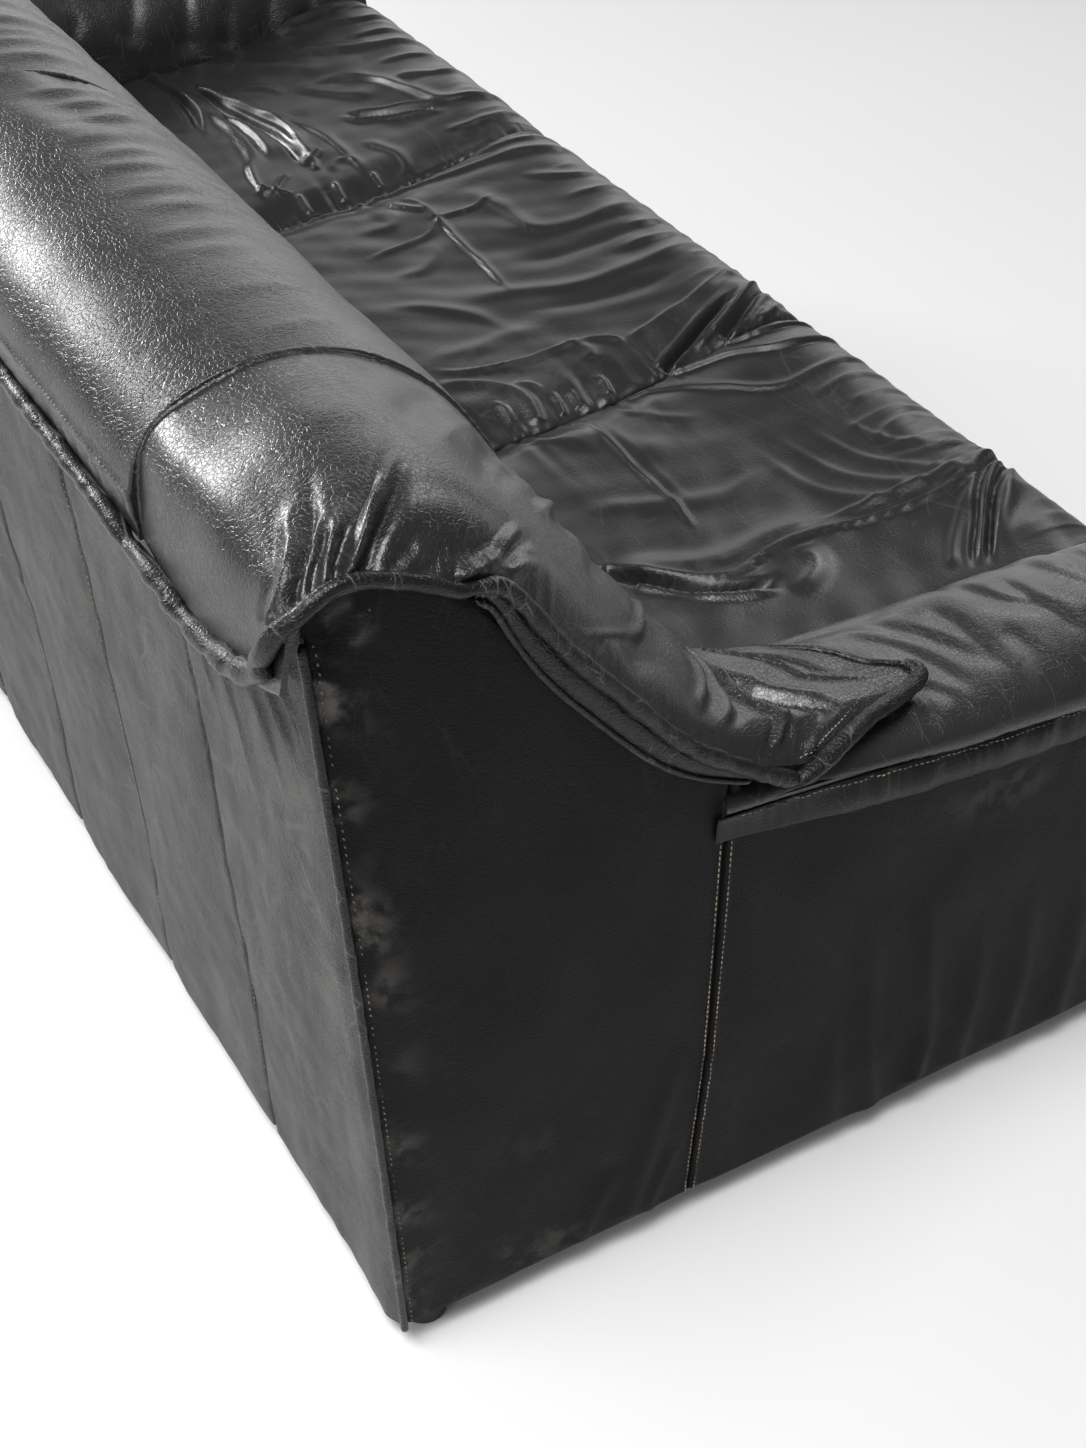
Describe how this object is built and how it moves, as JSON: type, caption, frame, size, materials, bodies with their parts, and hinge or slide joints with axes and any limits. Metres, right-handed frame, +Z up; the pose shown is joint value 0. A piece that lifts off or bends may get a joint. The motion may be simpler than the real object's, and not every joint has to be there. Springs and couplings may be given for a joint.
{
  "type": "three-seat leather sofa",
  "caption": "Low three-seat sofa in worn black leather with a thick back roll that sweeps down over the arms, welted seams and a padded seat.",
  "frame": {"origin": "on the floor, under the centre of the sofa's bounding box", "axes": "+X along the sofa towards the sitter's left when seated, which is the right when facing the sofa; -Y towards the front; +Z up"},
  "size_m": [2.0408, 0.9104, 0.7676],
  "materials": {
    "black_leather": "semi-gloss, creased and scuffed",
    "worn_leather": "satin, rubbed grey with drag folds",
    "beech": "sawn, unfinished",
    "plywood": "unfinished",
    "hardboard": "matte",
    "webbing": "matte woven",
    "lining": "matte",
    "foot_plastic": "moulded, scuffed"
  },
  "bodies": {
    "root": {"rail_front": "beech", "rail_rear": "beech", "rail_left": "beech", "rail_right": "beech", "corner_block_front_left": "beech", "corner_block_rear_left": "beech", "corner_block_front_right": "beech", "corner_block_rear_right": "beech", "rear_post_left": "beech", "rear_post_right": "beech", "back_upright_left": "beech", "back_upright_right": "beech", "back_top_rail": "beech", "back_tuck_rail": "beech", "arm_post_left": "beech", "arm_post_right": "beech", "arm_rail_left": "beech", "arm_rail_right": "beech", "end_board_left": "plywood", "end_board_right": "plywood", "back_board": "hardboard", "arm_inner_board_left": "hardboard", "arm_inner_board_right": "hardboard", "seat_strap_1": "webbing", "seat_strap_2": "webbing", "seat_strap_3": "webbing", "seat_strap_4": "webbing", "seat_strap_5": "webbing", "seat_strap_6": "webbing", "back_strap_1": "webbing", "back_strap_2": "webbing", "back_strap_3": "webbing", "seat_section_left": "black_leather", "seat_section_middle": "black_leather", "seat_section_right": "black_leather", "back_section_left": "black_leather", "back_section_middle": "black_leather", "back_section_right": "black_leather", "back_end_left": "black_leather", "back_end_right": "black_leather", "arm_pad_left": "black_leather", "arm_pad_right": "black_leather", "end_cover_left": "black_leather", "end_cover_right": "black_leather", "front_cover": "black_leather", "arm_front_left": "black_leather", "arm_front_right": "black_leather", "arm_hem_left": "black_leather", "arm_hem_right": "black_leather", "rear_welt": "black_leather", "end_welt_left": "black_leather", "end_welt_right": "black_leather", "rear_cover": "worn_leather", "dust_cover": "lining", "foot_front_left": "foot_plastic", "foot_front_right": "foot_plastic", "foot_rear_left": "foot_plastic", "foot_rear_right": "foot_plastic"}
  },
  "joints": []
}
